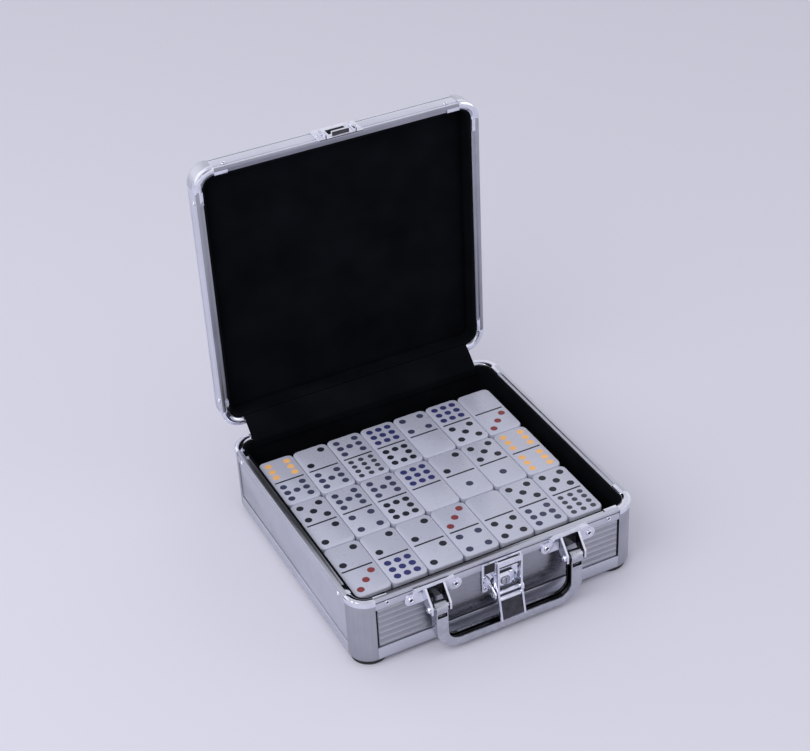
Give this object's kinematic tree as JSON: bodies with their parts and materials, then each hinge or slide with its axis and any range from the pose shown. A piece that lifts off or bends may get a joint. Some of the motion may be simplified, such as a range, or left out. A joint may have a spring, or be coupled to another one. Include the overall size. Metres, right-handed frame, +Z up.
{
  "type": "domino storage case",
  "caption": "Hinged aluminium case with rounded corners, drop handle and claw latch, standing open with stacked rows of domino tiles inside.",
  "frame": {"origin": "centre of the footprint of the open case, on the surface it stands on", "axes": "+Z up, +X along the hinge line to the right as seen from the front, -Y towards the front with the handle and latch"},
  "size_m": [0.2014, 0.2324, 0.256],
  "materials": {
    "rail_aluminium": "satin, lengthwise brushed",
    "panel_silver": "satin sheet",
    "bright_metal": "bright plated",
    "handle_silver": "satin plated",
    "lock_nickel": "nickel plated",
    "hinge_steel": "plated sheet steel",
    "black_cloth": "short felt over foam",
    "tile_white": "polished melamine, printed pips",
    "black_rubber": "matt"
  },
  "bodies": {
    "base": {"base_bottom_panel": "panel_silver", "base_front_panel": "panel_silver", "base_back_panel": "panel_silver", "base_left_panel": "panel_silver", "base_right_panel": "panel_silver", "bottom_rail_front": "rail_aluminium", "bottom_rail_back": "rail_aluminium", "bottom_rail_left": "rail_aluminium", "bottom_rail_right": "rail_aluminium", "rim_rail_front": "rail_aluminium", "rim_rail_back": "rail_aluminium", "rim_rail_left": "rail_aluminium", "rim_rail_right": "rail_aluminium", "base_post_front_left": "rail_aluminium", "base_post_front_right": "rail_aluminium", "base_post_back_left": "rail_aluminium", "base_post_back_right": "rail_aluminium", "base_corner_caps": "bright_metal", "base_rivets": "bright_metal", "feet": "black_rubber", "base_lining_floor": "black_cloth", "base_lining_walls": "black_cloth", "tile_layer_1": "tile_white", "tile_layer_2": "tile_white", "tile_layer_3": "tile_white", "tile_layer_4": "tile_white", "handle_bracket_left": "bright_metal", "handle_bracket_right": "bright_metal", "handle_pins": "bright_metal", "handle_rivets": "bright_metal", "latch_plate": "bright_metal", "latch_window_pad": "black_rubber", "latch_rivets": "bright_metal", "lock_body": "bright_metal", "latch_pin": "bright_metal", "hinge_base_leaf_left": "hinge_steel", "hinge_base_leaf_right": "hinge_steel", "hinge_pins": "hinge_steel", "hinge_flap": "black_cloth"},
    "lid": {"hinge_lid_leaf_left": "hinge_steel", "hinge_lid_leaf_right": "hinge_steel", "lid_top_panel": "panel_silver", "lid_rail_front": "rail_aluminium", "lid_rail_back": "rail_aluminium", "lid_rail_left": "rail_aluminium", "lid_rail_right": "rail_aluminium", "lid_post_front_left": "rail_aluminium", "lid_post_front_right": "rail_aluminium", "lid_post_back_left": "rail_aluminium", "lid_post_back_right": "rail_aluminium", "lid_corner_caps": "bright_metal", "lid_rivets": "bright_metal", "lid_lining": "black_cloth", "lid_catch": "bright_metal", "catch_rivets": "bright_metal"},
    "handle": {"handle": "handle_silver"},
    "latch": {"latch_rocker": "bright_metal"},
    "lock": {"lock_barrel": "lock_nickel"}
  },
  "joints": [
    {"name": "lid_hinge", "type": "hinge", "parent": "base", "child": "lid", "pos_m": [0, 0.09842, 0.05225], "axis": [1, 0, 0], "range_deg": [0, 90], "deforming": ["hinge_flap"]},
    {"name": "handle_swing", "type": "hinge", "parent": "base", "child": "handle", "pos_m": [0, -0.10908, 0.037], "axis": [-1, 0, 0], "range_deg": [-6, 180]},
    {"name": "latch_rock", "type": "hinge", "parent": "base", "child": "latch", "pos_m": [0, -0.10858, 0.029], "axis": [-1, 0, 0], "range_deg": [0, 14.5]},
    {"name": "lock_turn", "type": "hinge", "parent": "base", "child": "lock", "pos_m": [0, -0.10358, 0.035], "axis": [0, 1, 0], "range_deg": [0, 90]}
  ]
}
